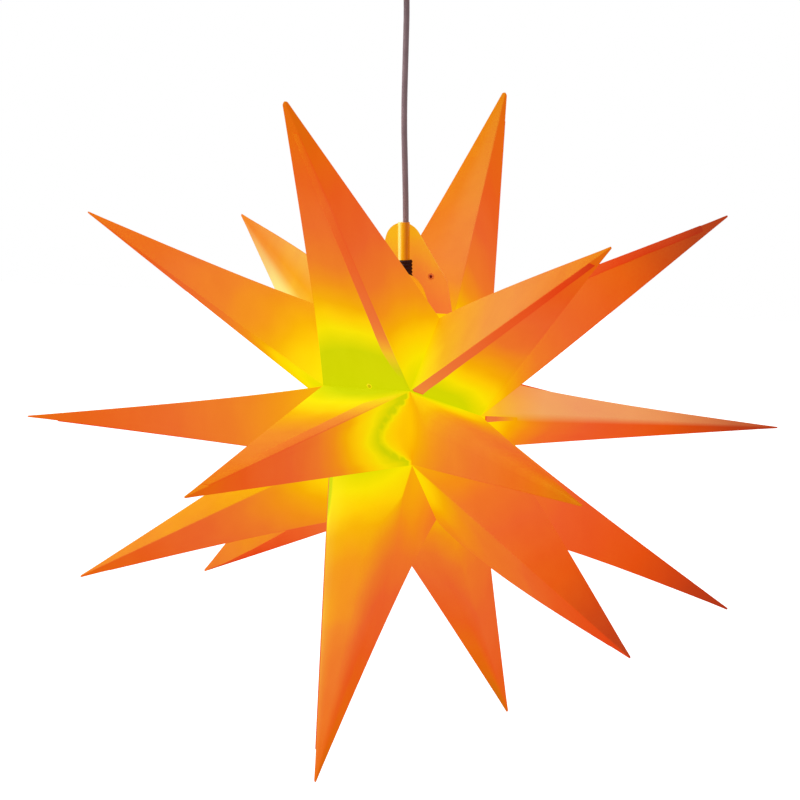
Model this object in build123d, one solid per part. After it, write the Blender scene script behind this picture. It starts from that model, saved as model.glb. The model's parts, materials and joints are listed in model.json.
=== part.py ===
from build123d import *
import math
import os

# A hanging star of eighteen hollow plastic points round a lamp, on a cord from a ceiling fitting.
# Millimetres. The origin is the middle of the ceiling face, +Z is up and the front is -Y.
# The star's pole axis lies along X. Angles round that axis start straight up and go forward.

# Star: six gores of three points each, round the pole axis
STAR_DROP = 357.0  # ceiling face to the star's centre
MIDDLE_LENGTH = 284.0  # centre to the tip of a four-sided point
POLAR_LENGTH = 276.0  # centre to the tip of a three-sided point
POLAR_ANGLE = 37.5  # between a three-sided point and the pole axis
GORE_HALF_WIDTH = 34.5  # half of the valley between two four-sided points
FRONT_WIDE_END = 38.5  # centre to the left end of the upper front valley
REAR_WIDE_END = 40.0  # centre to the right end of the upper rear valley
HINGE_HALF_WIDTH = 26.0  # half of the valley at the bottom
POLE_REACH = 63.0  # centre to a pole, where six points meet
RIGHT_POLE_RISE = 2.0  # of the right pole above the centre
VALLEY_RADIUS = 59.0  # pole axis to the valleys at the front and the rear
UPPER_VALLEY_ANGLE = 66.0  # round the pole axis, from straight up
LOWER_VALLEY_ANGLE = 120.5
SEAM_RADIUS = 74.0  # pole axis to the free edges of the seam at the top
HINGE_RADIUS = 77.5  # pole axis to the valley at the bottom, on which the halves fold
SEAM_GAP = 22.0  # between the two free edges at the top

# Sheet that the points are folded from
SHEET = 0.8
FLANGE_DEPTH = 8.0  # how far the weld flanges reach in from a valley
TIP_SOLID = 6.0  # welded end of a point
WELD_WIDTH = 9.5  # overlap strip along one ridge, at its widest
WELD_END_WIDTH = 4.5
WELD_LIFT = 0.6  # how proud the overlap stands
WELD_START = 3.0  # from the valley to the strip
WELD_TAPER = 32.0  # from the base corner to the widest place of a strip with a pointed end
WELD_STOP = 0.9  # share of the ridge that the overlap covers
WELD_INSET = 0.5  # from the ridge line
WELD_SINK = 0.3  # how far the overlap is melted into the sheet

# Cord and the sleeve round it
CORD_DIAMETER = 4.4
CORD_ROOM = 0.2  # radial, wherever the cord passes through a piece
SLEEVE_DIAMETER = 8.6
SLEEVE_TOP = 140.5  # above the star's centre
SLEEVE_LENGTH = 27.5
SLEEVE_SHIFT = (-1.2, -0.7)  # to the left and to the front, since it hangs beside the cord
CORD_END_INSIDE = 2.0  # cord's lower end, above the sleeve's lower end

# Tongue that closes the seam behind the sleeve, and a lower tab in front of the holder's neck
TONGUE_SHEET = 1.0
TONGUE_HEIGHT = 67.0
TONGUE_SIDE_ROOM = 1.5  # from the tongue's lower corners to the ends of the free edge
TONGUE_SHOULDER_ROOM = 4.5  # the same, from the corners above them
TONGUE_SHOULDER_HEIGHT = 25.0
TONGUE_TIP_RADIUS = 15.5
TONGUE_TIP_SHIFT = -5.0  # of the round end along the fold
TAB_HEIGHT = 31.0
TAB_SIDE_ROOM = 6.5  # from the tab's lower corners to the ends of the free edge
TAB_TIP_RADIUS = 22.0
FOLD_ROOM = 0.8  # between a fold line and the lower edge of the tongue or the tab
REST_ROOM = 0.3  # between the sleeve and the tongue, and between the neck and the tab
EYELET_SPREAD = 34.0  # between the two eyelets
EYELET_HEIGHT = 28.0  # above the fold line
EYELET_BORE = 2.4
EYELET_WALL = 0.35
EYELET_RIM = 0.9  # radial
EYELET_RIM_THICKNESS = 0.4
EYELET_ROOM = 0.05

# Lamp holder, hung from the cord
NECK_DIAMETER = 10.0
NECK_BORE = 6.4
NECK_THREAD_LENGTH = 9.0  # screwed into the holder's cap
NECK_THREAD_PITCH = 2.5
NECK_THREAD_DEPTH = 0.6
THREAD_ROOM = 0.1
SEAT_ROOM = 0.3  # between the weld flanges and the cap that carries them
CAP_SLOPE = 30.0  # of the shoulder, below the horizontal
CAP_HUB_RADIUS = 7.8
CAP_RADIUS = 15.0
CAP_SKIRT = 8.0
CAP_WALL = 1.8
SPIGOT_LENGTH = 5.0  # of the socket body, inside the cap
SPIGOT_ROOM = 0.1
SOCKET_RADIUS = 13.2
SOCKET_LENGTH = 26.0
SOCKET_FLOOR = 4.0
SHELL_WALL = 0.6
SHELL_RADIUS = 7.7
SHELL_ROOM = 0.1  # between the threaded shell and the socket body
SHELL_LENGTH = 20.0
CONTACT_RADIUS = 2.6
CONTACT_HEIGHT = 2.0
LEAD_DIAMETER = 1.6
LEAD_SPACING = 2.2

# Bulb, small screw cap
BULB_CAP_ROOM = 0.2  # between the bulb's cap and the threaded shell
BULB_THREAD_DEPTH = 0.5
BULB_THREAD_PITCH = 3.2
BULB_CAP_LENGTH = 19.0
BULB_TIP_RADIUS = 2.2
BULB_TIP_HEIGHT = 1.0
INSULATOR_RADIUS = 5.2
INSULATOR_HEIGHT = 0.9
COLLAR_LENGTH = 18.0
COLLAR_WALL = 1.6
GLOBE_RADIUS = 22.5
GLOBE_WALL = 1.2
GLOBE_MOUTH_RADIUS = 15.8
BOARD_THICKNESS = 1.2
BOARD_ROOM = 0.1  # between the board and the globe's wall
CHIP_COUNT = 8
CHIP_CIRCLE = 8.0
CHIP_SIDE = 2.8
CHIP_HEIGHT = 0.7

# Ceiling fitting
CANOPY_DIAMETER = 84.0
CANOPY_HEIGHT = 42.0
CANOPY_WALL = 1.6
CANOPY_FLOOR = 3.0
CANOPY_EDGE_RADIUS = 6.0
BALL_RADIUS = 9.0
BALL_RISE = 4.5  # ball's centre above the canopy's floor
BALL_ROOM = 0.15
BALL_FLARE = 15.0  # half angle of the bore's two flares
BRACKET_THICKNESS = 2.0
BRACKET_WIDTH = 16.0
BRACKET_WALL_ROOM = 0.6  # between an ear's corner and the canopy's wall
EAR_HEIGHT = 15.0
MOUNT_HOLE_SPACING = 44.0
MOUNT_HOLE_DIAMETER = 5.0
SCREW_DIAMETER = 3.8
SCREW_ROOM = 0.1
SCREW_LENGTH = 9.0
SCREW_HEAD_DIAMETER = 7.0
SCREW_HEAD_HEIGHT = 2.4
SCREW_DROP = 9.5  # below the ceiling face
SCREW_SLOT = 1.0
BLOCK_LENGTH = 19.0
BLOCK_WIDTH = 14.0
BLOCK_HEIGHT = 12.0
BLOCK_POLE_SPACING = 8.0
BLOCK_BORE = 2.6
BLOCK_SCREW_DIAMETER = 3.2
BLOCK_SCREW_LENGTH = 3.6
WIRE_GRIP = 2.0  # of a supply wire, inside the block
TAIL_GAP = 0.3  # between the cord's rounded end and the tail above it
TAIL_LENGTH = 4.0

# How far single points of the soft sheet stand off their true direction, in degrees:
# round the pole axis, and along it towards +X
LEANS = {
    "upper_front_left": (-1.5, 3.5),
    "upper_front_middle": (-1.25, 0.25),
    "upper_front_right": (0.0, -0.75),
    "front_left": (-5.0, -0.75),
    "front_middle": (0.75, -1.0),
    "front_right": (6.25, 1.75),
    "lower_front_left": (-9.25, -2.0),
    "lower_front_middle": (-1.75, 1.75),
    "lower_front_right": (0.75, 0.75),
    "upper_rear_left": (-2.5, 1.5),
    "upper_rear_middle": (1.25, -1.5),
    "upper_rear_right": (-2.25, -5.25),
    "rear_left": (0.0, 7.0),
    "rear_right": (-0.5, 4.5),
    "lower_rear_left": (-4.25, -1.5),
    "lower_rear_middle": (0.0, 2.75),
    "lower_rear_right": (5.25, -0.5),
}

# The ridge that carries a point's overlap, as the base corner it starts from and then the other
# base corner of the face that it lies on, for the upper, level and lower gore of a half.
# A four-sided base has corners A and B on the gore's first edge and C and D on its last, with A
# and D on the right. A three-sided base has A on the first edge, B on the last and C at the pole.
MIDDLE_WELDS = ["DC", "AB", "BC"]
POLAR_WELDS = ["BC", "BC", "AC"]
# Points folded the other way, and one whose overlap lies flush
OTHER_WELDS = {
    "upper_front_left": "CA",
    "upper_rear_right": "AC",
    "rear_right": "CB",
    "lower_front_left": "BC",
    "lower_front_right": "BC",
    "lower_rear_left": "BC",
    "front_right": "",
}

# Worked out from the sizes above
CENTRE = Vector(0, 0, -STAR_DROP)
SEAM_ANGLE = math.degrees(math.asin(SEAM_GAP / 2 / SEAM_RADIUS))
GORE_PITCH = (180 - SEAM_ANGLE) / 3  # between the tips of two gores
FLANGE_SCALE = 1 - FLANGE_DEPTH / VALLEY_RADIUS
# Edges of the gores, by angle and radius
GORE_EDGES = [
    (SEAM_ANGLE, SEAM_RADIUS),
    (UPPER_VALLEY_ANGLE, VALLEY_RADIUS),
    (LOWER_VALLEY_ANGLE, VALLEY_RADIUS),
    (180.0, HINGE_RADIUS),
]
# Left and right end of each edge along the pole axis, for the front half and for the rear one
EVEN_ENDS = {-1: -GORE_HALF_WIDTH, 1: GORE_HALF_WIDTH}
HINGE_ENDS = {-1: -HINGE_HALF_WIDTH, 1: HINGE_HALF_WIDTH}
EDGE_ENDS = {
    1: [EVEN_ENDS, {-1: -FRONT_WIDE_END, 1: GORE_HALF_WIDTH}, EVEN_ENDS, HINGE_ENDS],
    -1: [EVEN_ENDS, {-1: -GORE_HALF_WIDTH, 1: REAR_WIDE_END}, EVEN_ENDS, HINGE_ENDS],
}
POLES = {
    -1: CENTRE + Vector(-POLE_REACH, 0, 0),
    1: CENTRE + Vector(POLE_REACH, 0, RIGHT_POLE_RISE),
}
CORD_RADIUS = CORD_DIAMETER / 2
PIVOT = Vector(0, 0, -CANOPY_HEIGHT + CANOPY_FLOOR + BALL_RISE)
SLEEVE_BASE = SLEEVE_TOP - SLEEVE_LENGTH
SEAM_EDGE_HEIGHT = SEAM_RADIUS * math.cos(math.radians(SEAM_ANGLE))


def on_star(angle, radius, along):
    """A point by its angle round the pole axis, its distance from it and its place along it."""
    turn = math.radians(angle)
    return CENTRE + Vector(along, -radius * math.sin(turn), radius * math.cos(turn))


def polygon_wire(points):
    return Wire.make_polygon(points, close=True)


def closed_solid(loops, holed=()):
    """A solid with flat faces, each a loop of points, or an outer loop with a hole in it."""
    faces = [Face(polygon_wire(loop)) for loop in loops]
    faces += [Face(polygon_wire(outer), [polygon_wire(inner)]) for outer, inner in holed]
    return Solid(Shell(faces))


def neighbours(loop):
    return zip(loop, loop[1:] + loop[:1])


def inset(loop, distance):
    """The corners of a flat loop, moved in by the same distance from both of their edges."""
    moved = []
    for i, corner in enumerate(loop):
        back = (loop[i - 1] - corner).normalized()
        ahead = (loop[(i + 1) % len(loop)] - corner).normalized()
        spread = math.radians(back.get_angle(ahead))
        moved.append(corner + (back + ahead) * (distance / math.sin(spread)))
    return moved


def middle_of(points):
    return sum(points, Vector()) / len(points)


def towards_centre(points, scale):
    return [CENTRE + (p - CENTRE) * scale for p in points]


def weld_strip(tip, base, corners):
    """The overlap of the folded sheet: a thin strip beside one ridge, on one face."""
    start, other = [base["ABCD".index(letter)] for letter in corners]
    ridge = tip - start
    along = ridge.normalized()
    valley = other - start
    out = along.cross(valley).normalized()
    if out.dot(middle_of(base) - start) > 0:
        out = out * -1
    valley_width = valley.length * math.sin(math.radians(along.get_angle(valley)))
    across = (valley - along * along.dot(valley)) / valley_width
    # A strip on a four-sided base has a pointed end, and one on a three-sided base a cut end
    if len(base) == 4:
        widest = start + along * WELD_TAPER + across * WELD_WIDTH
    else:
        widest = start + along * WELD_START + valley * (WELD_WIDTH / valley_width)
    high = start + ridge * WELD_STOP
    flat = [
        start + along * WELD_START + across * WELD_INSET,
        widest,
        high + across * WELD_END_WIDTH,
        high + across * WELD_INSET,
    ]
    under = [p - out * WELD_SINK for p in flat]
    over = [p + out * WELD_LIFT for p in flat]
    sides = [[a, b, d, c] for (a, b), (c, d) in zip(neighbours(under), neighbours(over))]
    return closed_solid([under, over] + sides)


def folded_point(tip, base, weld):
    """A hollow point with weld flanges that reach in from its base, open towards the lamp."""
    rim = towards_centre(base, FLANGE_SCALE)
    inner_base = inset(base, SHEET)
    inner_rim = inset(rim, SHEET)
    inner_tip = tip + (middle_of(base) - tip).normalized() * TIP_SOLID
    loops = []
    for apex, foot, lip in ((tip, base, rim), (inner_tip, inner_base, inner_rim)):
        loops += [[apex, a, b] for a, b in neighbours(foot)]
        loops += [[a, b, d, c] for (a, b), (c, d) in zip(neighbours(foot), neighbours(lip))]
    shell = closed_solid(loops, holed=[(rim, inner_rim)])
    return shell + weld_strip(tip, base, weld) if weld else shell


def tip_of(row, angle, along):
    """A tip: row is -1 and 1 for the points beside the poles, and 0 for those between them."""
    if row == 0:
        lift = math.radians(along)
        reach = MIDDLE_LENGTH * math.cos(lift)
        return on_star(angle, reach, MIDDLE_LENGTH * math.sin(lift))
    from_pole = math.radians(POLAR_ANGLE - row * along)
    return on_star(
        angle, POLAR_LENGTH * math.sin(from_pole), row * POLAR_LENGTH * math.cos(from_pole)
    )


def make_points():
    """Eighteen points, by name."""
    made = {}
    gore_names = {1: ["upper_front", "front", "lower_front"], -1: ["upper_rear", "rear", "lower_rear"]}
    for half, names in gore_names.items():
        for gore, gore_name in enumerate(names):
            first, last = [
                {side: on_star(half * angle, radius, end) for side, end in ends.items()}
                for (angle, radius), ends in list(zip(GORE_EDGES, EDGE_ENDS[half]))[gore : gore + 2]
            ]
            middle = SEAM_ANGLE + GORE_PITCH * (gore + 0.5)
            for row, row_name in ((-1, "left"), (0, "middle"), (1, "right")):
                name = f"{gore_name}_{row_name}"
                turn, along = LEANS.get(name, (0.0, 0.0))
                tip = tip_of(row, half * middle + turn, along)
                if row == 0:
                    base = [first[1], first[-1], last[-1], last[1]]
                    weld = MIDDLE_WELDS[gore]
                else:
                    base = [first[row], last[row], POLES[row]]
                    weld = POLAR_WELDS[gore]
                made[f"point_{name}"] = folded_point(tip, base, OTHER_WELDS.get(name, weld))
    return made


def turned(profile):
    """A solid turned about the Z axis from points given as radius and height."""
    face = make_face(Polyline(*[(r, 0, z) for r, z in profile], close=True))
    return revolve(face, Axis.Z)


def star_level(height):
    return height - STAR_DROP


def disc(radius, low, high, bore=0.0):
    if bore:
        return turned([(bore, low), (radius, low), (radius, high), (bore, high)])
    return turned([(0, low), (radius, low), (radius, high), (0, high)])


def rounded_flap(height, tip_radius, corners, tip_shift=0.0):
    """A flat flap on a fold along X: a round end over corners given by side room and height."""
    tip_centre = height - tip_radius
    sides = {}
    for side in (-1, 1):
        sides[side] = [(side * (GORE_HALF_WIDTH - room), level) for room, level in corners]
        # From its last corner each side runs as a tangent to the round end
        last_x, last_level = sides[side][-1]
        run = side * (last_x - tip_shift)
        rise = tip_centre - last_level
        turn = math.acos(tip_radius / math.hypot(run, rise)) - math.atan2(rise, run)
        touch_x = tip_shift + side * tip_radius * math.cos(turn)
        sides[side].append((touch_x, tip_centre + tip_radius * math.sin(turn)))
    outline = Polyline(*sides[1][::-1], *sides[-1])
    outline += ThreePointArc(sides[-1][-1], (tip_shift, height), sides[1][-1])
    return extrude(make_face(outline), TONGUE_SHEET)


def leaning_plane(side, height, rest_radius):
    """A flap's plane, leaning from its free edge: X along the fold, Y up, Z towards the neck."""
    fold = Vector(0, side * SEAM_GAP / 2, star_level(SEAM_EDGE_HEIGHT))
    travel = SEAM_GAP / 2 - rest_radius - REST_ROOM - TONGUE_SHEET
    lean = math.degrees(math.atan2(travel, height))
    plane = Plane(origin=fold, x_dir=(side, 0, 0), z_dir=(0, -side, 0))
    return plane.rotated((side * lean, 0, 0))


def make_flaps():
    """The tongue behind the sleeve with its eyelets, and the tab in front of the neck."""
    plane = leaning_plane(1, TONGUE_HEIGHT, SLEEVE_DIAMETER / 2 + SLEEVE_SHIFT[1])
    corners = [(TONGUE_SIDE_ROOM, FOLD_ROOM), (TONGUE_SHOULDER_ROOM, TONGUE_SHOULDER_HEIGHT)]
    sheet = rounded_flap(TONGUE_HEIGHT, TONGUE_TIP_RADIUS, corners, TONGUE_TIP_SHIFT)
    tab = rounded_flap(TAB_HEIGHT, TAB_TIP_RADIUS, [(TAB_SIDE_ROOM, FOLD_ROOM)])
    tab_plane = leaning_plane(-1, TAB_HEIGHT, NECK_DIAMETER / 2)
    barrel = EYELET_BORE / 2 + EYELET_WALL
    eyelets = []
    for side in (-1, 1):
        place = Pos(side * EYELET_SPREAD / 2, EYELET_HEIGHT, 0)
        low, high = -EYELET_RIM_THICKNESS, TONGUE_SHEET + EYELET_RIM_THICKNESS
        sheet -= place * disc(barrel + EYELET_ROOM, low, high)
        eyelet = disc(barrel, low, high, EYELET_BORE / 2)
        eyelet += disc(barrel + EYELET_RIM, low, 0, EYELET_BORE / 2)
        eyelet += disc(barrel + EYELET_RIM, TONGUE_SHEET, high, EYELET_BORE / 2)
        eyelets.append(place * eyelet)
    return {
        "front_tab": tab_plane * tab,
        "tongue": plane * sheet,
        "tongue_eyelets": Compound([(plane * e).solid() for e in eyelets]),
    }


def thread(radius, depth, pitch, low, high):
    """Rings in place of a thread, as radius and height, with a whole number of them."""
    count = round((high - low) / pitch)
    step = (high - low) / count
    rings = []
    for turn in range(count):
        rings += [(radius - depth, low + turn * step), (radius, low + (turn + 0.5) * step)]
    return rings + [(radius - depth, high)]


def make_holder():
    """Sleeve, neck, cap and socket: the star's free edges rest on the cap's sloping shoulder."""
    slope = math.tan(math.radians(CAP_SLOPE))
    seat_radius = FLANGE_SCALE * SEAM_GAP / 2
    seat = star_level(FLANGE_SCALE * SEAM_EDGE_HEIGHT) - SEAT_ROOM
    hub_top = seat + (seat_radius - CAP_HUB_RADIUS) * slope
    shoulder_end = seat - (CAP_RADIUS - seat_radius) * slope
    cap_base = shoulder_end - CAP_SKIRT
    neck_radius = NECK_DIAMETER / 2
    neck_base = hub_top - NECK_THREAD_LENGTH
    neck_top = star_level(SLEEVE_BASE)
    chamber = CAP_RADIUS - CAP_WALL
    cap = turned([
        (neck_radius + THREAD_ROOM, hub_top),
        (CAP_HUB_RADIUS, hub_top),
        (CAP_RADIUS, shoulder_end),
        (CAP_RADIUS, cap_base),
        (chamber, cap_base),
        (chamber, cap_base + SPIGOT_LENGTH),
        (CAP_HUB_RADIUS, cap_base + SPIGOT_LENGTH),
        (CAP_HUB_RADIUS, neck_base),
        (neck_radius + THREAD_ROOM, neck_base),
    ])
    spigot = chamber - SPIGOT_ROOM
    floor_top = cap_base
    floor_base = floor_top - SOCKET_FLOOR
    socket_base = cap_base - SOCKET_LENGTH
    bore = SHELL_RADIUS + SHELL_ROOM
    lead = LEAD_DIAMETER / 2
    socket = turned([
        (0, floor_top),
        (spigot - CAP_WALL, floor_top),
        (spigot - CAP_WALL, floor_top + SPIGOT_LENGTH),
        (spigot, floor_top + SPIGOT_LENGTH),
        (spigot, floor_top),
        (SOCKET_RADIUS, floor_top),
        (SOCKET_RADIUS, socket_base),
        (bore, socket_base),
        (bore, floor_base),
        (0, floor_base),
    ])
    shell = disc(SHELL_RADIUS, floor_base - SHELL_LENGTH, floor_base, SHELL_RADIUS - SHELL_WALL)
    contact_base = floor_base - CONTACT_HEIGHT
    leads = [
        Pos(side * LEAD_SPACING / 2, 0, 0) * disc(lead, floor_top, neck_top)
        for side in (-1, 1)
    ]
    bulb = make_bulb(contact_base, SHELL_RADIUS - SHELL_WALL - BULB_CAP_ROOM)
    sleeve_top = star_level(SLEEVE_TOP)
    sleeve = Pos(*SLEEVE_SHIFT, 0) * disc(SLEEVE_DIAMETER / 2, neck_top, sleeve_top)
    return {
        "cord_sleeve": sleeve - disc(CORD_RADIUS + CORD_ROOM, neck_top, sleeve_top),
        "holder_neck": turned(
            [(NECK_BORE / 2, neck_base)]
            + thread(neck_radius, NECK_THREAD_DEPTH, NECK_THREAD_PITCH, neck_base, neck_top)
            + [(NECK_BORE / 2, neck_top)]
        ),
        "holder_leads": Compound([w.solid() for w in leads]),
        "holder_cap": cap,
        "socket_body": socket,
        "socket_shell": shell,
        "socket_contact": disc(CONTACT_RADIUS, contact_base, floor_base),
        **bulb,
    }


def make_bulb(top, cap_radius):
    """A screw-in bulb, from the contact at its top to the globe below."""
    tip_base = top - BULB_TIP_HEIGHT
    cap_top = tip_base - INSULATOR_HEIGHT
    cap_base = cap_top - BULB_CAP_LENGTH
    crests = thread(cap_radius, BULB_THREAD_DEPTH, BULB_THREAD_PITCH, cap_base, cap_top)
    collar_base = cap_base - COLLAR_LENGTH
    neck = cap_radius - BULB_THREAD_DEPTH
    collar = turned([
        (neck - COLLAR_WALL, cap_base),
        (neck, cap_base),
        (GLOBE_MOUTH_RADIUS, collar_base + COLLAR_LENGTH / 3),
        (GLOBE_MOUTH_RADIUS, collar_base),
        (GLOBE_MOUTH_RADIUS - COLLAR_WALL, collar_base),
        (GLOBE_MOUTH_RADIUS - COLLAR_WALL, collar_base + COLLAR_LENGTH / 3),
    ])
    depth = math.sqrt(GLOBE_RADIUS**2 - GLOBE_MOUTH_RADIUS**2)
    middle = Pos(0, 0, collar_base - depth)
    globe = middle * (Sphere(GLOBE_RADIUS) - Sphere(GLOBE_RADIUS - GLOBE_WALL))
    globe -= Pos(0, 0, collar_base + GLOBE_RADIUS) * Box(*[2 * GLOBE_RADIUS] * 3)
    board_base = collar_base - BOARD_THICKNESS
    inside = math.sqrt((GLOBE_RADIUS - GLOBE_WALL) ** 2 - depth**2)
    board = disc(inside - BOARD_ROOM, board_base, collar_base)
    chip = Pos(CHIP_CIRCLE, 0, board_base - CHIP_HEIGHT / 2) * Box(CHIP_SIDE, CHIP_SIDE, CHIP_HEIGHT)
    chips = [Rot(0, 0, i * 360 / CHIP_COUNT) * chip for i in range(CHIP_COUNT)]
    return {
        "bulb_tip": disc(BULB_TIP_RADIUS, tip_base, top),
        "bulb_insulator": disc(INSULATOR_RADIUS, cap_top, tip_base),
        "bulb_cap": turned([(0, cap_base)] + crests + [(0, cap_top)]),
        "bulb_collar": collar,
        "led_board": board,
        "led_chips": Compound([c.solid() for c in chips]),
        "bulb_globe": globe,
    }


def make_cord():
    """The taut cord, from the middle of the swivel ball down into the sleeve."""
    low = star_level(SLEEVE_BASE + CORD_END_INSIDE)
    run = disc(CORD_RADIUS, low, PIVOT.Z)
    return {"cord": run + Pos(PIVOT) * Sphere(CORD_RADIUS)}


def make_ceiling_fitting():
    """Bracket, canopy, swivel ball and terminals, with the wires between them."""
    inner = CANOPY_DIAMETER / 2 - CANOPY_WALL
    canopy = disc(CANOPY_DIAMETER / 2, -CANOPY_HEIGHT, 0)
    canopy = fillet(canopy.edges().group_by(Axis.Z)[0], CANOPY_EDGE_RADIUS)
    hollow = disc(inner, -CANOPY_HEIGHT + CANOPY_FLOOR, 0)
    canopy -= fillet(hollow.edges().group_by(Axis.Z)[0], CANOPY_EDGE_RADIUS - CANOPY_WALL)
    canopy -= Pos(PIVOT) * Sphere(BALL_RADIUS + BALL_ROOM)

    ear_x = math.sqrt((inner - BRACKET_WALL_ROOM) ** 2 - (BRACKET_WIDTH / 2) ** 2)
    bracket = Pos(0, 0, -BRACKET_THICKNESS / 2) * Box(2 * ear_x, BRACKET_WIDTH, BRACKET_THICKNESS)
    screws = []
    for side in (-1, 1):
        ear = Pos(side * (ear_x - BRACKET_THICKNESS / 2), 0, -EAR_HEIGHT / 2)
        bracket += ear * Box(BRACKET_THICKNESS, BRACKET_WIDTH, EAR_HEIGHT)
        hole = Pos(side * MOUNT_HOLE_SPACING / 2, 0, -BRACKET_THICKNESS / 2)
        bracket -= hole * Cylinder(MOUNT_HOLE_DIAMETER / 2, BRACKET_THICKNESS)
        # A screw's own Z axis points out of the canopy, with its head seated on the wall
        seat = Plane(origin=(side * CANOPY_DIAMETER / 2, 0, -SCREW_DROP), z_dir=(side, 0, 0))
        room = disc(SCREW_DIAMETER / 2 + SCREW_ROOM, -SCREW_LENGTH, SCREW_HEAD_HEIGHT)
        bracket -= seat * room
        canopy -= seat * room
        screw = disc(SCREW_DIAMETER / 2, -SCREW_LENGTH, 0)
        screw += disc(SCREW_HEAD_DIAMETER / 2, 0, SCREW_HEAD_HEIGHT)
        slot = Pos(0, 0, SCREW_HEAD_HEIGHT) * Box(SCREW_SLOT, SCREW_HEAD_DIAMETER, SCREW_SLOT * 2)
        screws.append(seat * (screw - slot))

    flare = CORD_RADIUS + CORD_ROOM + BALL_RADIUS * math.tan(math.radians(BALL_FLARE))
    waist = CORD_RADIUS + CORD_ROOM
    bore = turned([
        (0, -BALL_RADIUS), (flare, -BALL_RADIUS), (waist, 0), (flare, BALL_RADIUS), (0, BALL_RADIUS),
    ])
    ball = Pos(PIVOT) * (Sphere(BALL_RADIUS) - bore)

    block_top = -BRACKET_THICKNESS
    block_base = block_top - BLOCK_HEIGHT
    block = Pos(0, 0, block_top - BLOCK_HEIGHT / 2) * Box(BLOCK_LENGTH, BLOCK_WIDTH, BLOCK_HEIGHT)
    tail_base = PIVOT.Z + CORD_RADIUS + TAIL_GAP
    tail_top = tail_base + TAIL_LENGTH
    wires, block_screws = [], []
    for side in (-1, 1):
        pole = side * BLOCK_POLE_SPACING / 2
        block -= Pos(pole, 0, block_base + BLOCK_HEIGHT / 4) * Cylinder(
            BLOCK_BORE / 2, BLOCK_HEIGHT / 2
        )
        start = Vector(side * LEAD_SPACING / 2, 0, tail_top)
        end = Vector(pole, 0, block_base + WIRE_GRIP)
        bend = (end.Z - start.Z) / 3
        route = [start, start + Vector(0, 0, bend), end - Vector(0, 0, bend), end]
        path = FilletPolyline(*route, radius=LEAD_DIAMETER)
        wires.append(sweep(Plane(start, z_dir=(0, 0, 1)) * Circle(LEAD_DIAMETER / 2), path))
        face = Plane(
            origin=(pole, -BLOCK_WIDTH / 2, block_top - BLOCK_HEIGHT / 2), z_dir=(0, -1, 0)
        )
        block -= face * disc(BLOCK_SCREW_DIAMETER / 2 + SCREW_ROOM, -BLOCK_SCREW_LENGTH, 0)
        block_screws.append(face * disc(BLOCK_SCREW_DIAMETER / 2, -BLOCK_SCREW_LENGTH, -SCREW_ROOM))
    return {
        "canopy": canopy,
        "ceiling_bracket": bracket,
        "canopy_screws": Compound([s.solid() for s in screws]),
        "swivel_ball": ball,
        "terminal_block": block,
        "terminal_screws": Compound([s.solid() for s in block_screws]),
        "cord_tail": disc(CORD_RADIUS, tail_base, tail_top),
        "supply_wires": Compound([w.solid() for w in wires]),
    }


pieces = {
    **make_points(),
    **make_flaps(),
    **make_holder(),
    **make_cord(),
    **make_ceiling_fitting(),
}

os.makedirs("parts", exist_ok=True)
for name, shape in pieces.items():
    export_step(shape, f"parts/{name}.step")
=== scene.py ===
import json
import math
import random

import bmesh
import bpy
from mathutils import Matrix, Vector


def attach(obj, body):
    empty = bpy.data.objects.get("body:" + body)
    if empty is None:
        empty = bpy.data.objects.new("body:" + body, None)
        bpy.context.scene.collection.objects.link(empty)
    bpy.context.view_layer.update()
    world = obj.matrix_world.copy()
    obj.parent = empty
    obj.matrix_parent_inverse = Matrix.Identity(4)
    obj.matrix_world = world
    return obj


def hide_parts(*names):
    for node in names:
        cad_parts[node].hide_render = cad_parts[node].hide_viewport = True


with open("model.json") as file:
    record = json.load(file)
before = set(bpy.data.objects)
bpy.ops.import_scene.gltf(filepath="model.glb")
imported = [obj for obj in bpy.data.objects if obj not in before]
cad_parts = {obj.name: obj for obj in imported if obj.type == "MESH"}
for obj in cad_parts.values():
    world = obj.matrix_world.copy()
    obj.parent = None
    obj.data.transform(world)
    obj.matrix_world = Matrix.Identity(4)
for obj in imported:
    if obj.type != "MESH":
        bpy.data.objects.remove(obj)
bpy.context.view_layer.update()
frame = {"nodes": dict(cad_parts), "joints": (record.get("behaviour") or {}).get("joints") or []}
nodes = frame["nodes"]

# Star, in metres: six gores of three points each, round a pole axis along X
STAR = Vector(next(j["pos_m"] for j in frame["joints"] if j["name"] == "bulb_turn"))
GORE_HALF_WIDTH = 0.0345
FRONT_WIDE_END = 0.0385
REAR_WIDE_END = 0.040
HINGE_HALF_WIDTH = 0.026
POLE_REACH = 0.063
RIGHT_POLE_RISE = 0.002
VALLEY_RADIUS = 0.059
UPPER_VALLEY_ANGLE = 66.0
LOWER_VALLEY_ANGLE = 120.5
SEAM_RADIUS = 0.074
HINGE_RADIUS = 0.0775
HINGE_ANGLE = 179.95  # short of the hinge line, so that the halves don't rub there
SEAM_GAP = 0.022
SHEET = 0.0008
FLANGE_DEPTH = 0.008
FLANGE_ROOM = 0.0003  # by which a flange draws back from its neighbour, at its lip
FLANGE_SCALE = 1 - FLANGE_DEPTH / VALLEY_RADIUS
CREASE = 0.0009  # from a ridge to where its crease ends
EASE = 0.003  # from there to where the face lies flat
EASE_SHARE = 0.05  # of a face, at most
CREASE_LIMIT = 0.2  # share of a face that a crease takes, at most
BEND_LIMIT = 0.4  # the same for a soft bend
INNER_END_RADIUS = 0.003  # where the two sides of the sheet are welded together towards a tip
INNER_END_SHARE = 0.3  # of the way from there to the tip, where the inner side ends
TIP_RADIUS = {3: 0.0009, 4: 0.002}  # of the blunt tip, by the number of sides
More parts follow.
